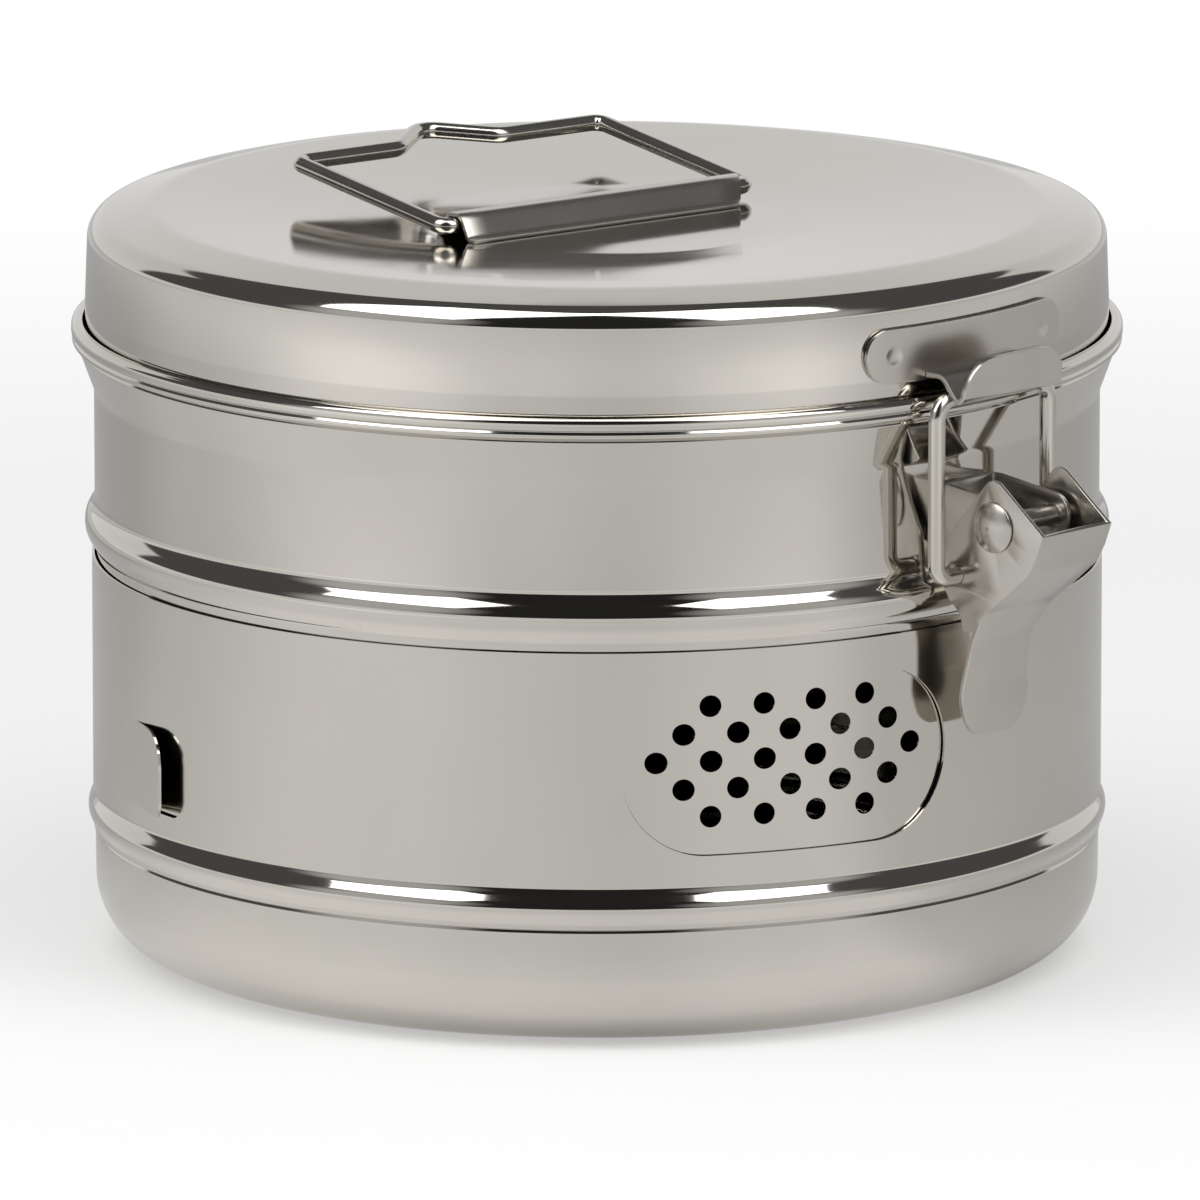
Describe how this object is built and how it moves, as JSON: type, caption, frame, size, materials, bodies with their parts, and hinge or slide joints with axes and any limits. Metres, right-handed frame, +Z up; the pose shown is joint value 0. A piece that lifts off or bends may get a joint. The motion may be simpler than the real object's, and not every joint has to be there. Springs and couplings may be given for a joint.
{
  "type": "sterilization drum",
  "caption": "Round polished stainless steel sterilization drum with a hinged lid, folding wire handle, side toggle latch and a sliding shutter band over steam holes.",
  "frame": {"origin": "centre of the flat underside that the drum stands on, on the drum's axis", "axes": "+Z up along the drum's axis, latch at -Y, hinge at +Y, +X to the right seen from the latch side"},
  "size_m": [0.2508, 0.289, 0.1884],
  "materials": {
    "polished_sheet": "mirror polished stainless steel sheet",
    "pressed_fitting": "polished pressed stainless steel strip",
    "polished_wire": "polished round stainless steel wire"
  },
  "bodies": {
    "drum": {"drum_body": "polished_sheet", "base_pan": "polished_sheet", "latch_bracket": "pressed_fitting", "latch_pin": "pressed_fitting", "latch_spacer": "pressed_fitting", "hinge_body_leaf": "pressed_fitting", "hinge_pin": "pressed_fitting"},
    "shutter": {"shutter_band": "polished_sheet"},
    "lid": {"lid_shell": "polished_sheet", "handle_saddle": "pressed_fitting", "keeper_hook": "pressed_fitting", "hinge_lid_leaf": "pressed_fitting"},
    "bail": {"bail_handle": "polished_wire"},
    "lever": {"latch_lever": "pressed_fitting"},
    "loop": {"latch_loop": "polished_wire"}
  },
  "joints": [
    {"name": "lid_hinge", "type": "hinge", "parent": "drum", "child": "lid", "pos_m": [0, 0.1305, 0.1576], "axis": [-1, 0, 0], "range_deg": [0, 110]},
    {"name": "bail_swing", "type": "hinge", "parent": "lid", "child": "bail", "pos_m": [0, 0, 0.17879], "axis": [0.9848, -0.1736, 0], "range_deg": [0, 167]},
    {"name": "lever_swing", "type": "hinge", "parent": "drum", "child": "lever", "pos_m": [0, -0.1395, 0.1225], "axis": [-1, 0, 0], "range_deg": [0, 130]},
    {"name": "loop_swing", "type": "hinge", "parent": "lever", "child": "loop", "pos_m": [0, -0.128, 0.1095], "axis": [-1, 0, 0], "range_deg": [-150, 0]},
    {"name": "shutter_turn", "type": "hinge", "parent": "drum", "child": "shutter", "pos_m": [0, 0, 0.068], "axis": [0, 0, 1], "continuous": true}
  ],
  "couplings": [
    {"joint": "loop_swing", "follows": "lever_swing", "ratio": -1.15}
  ]
}
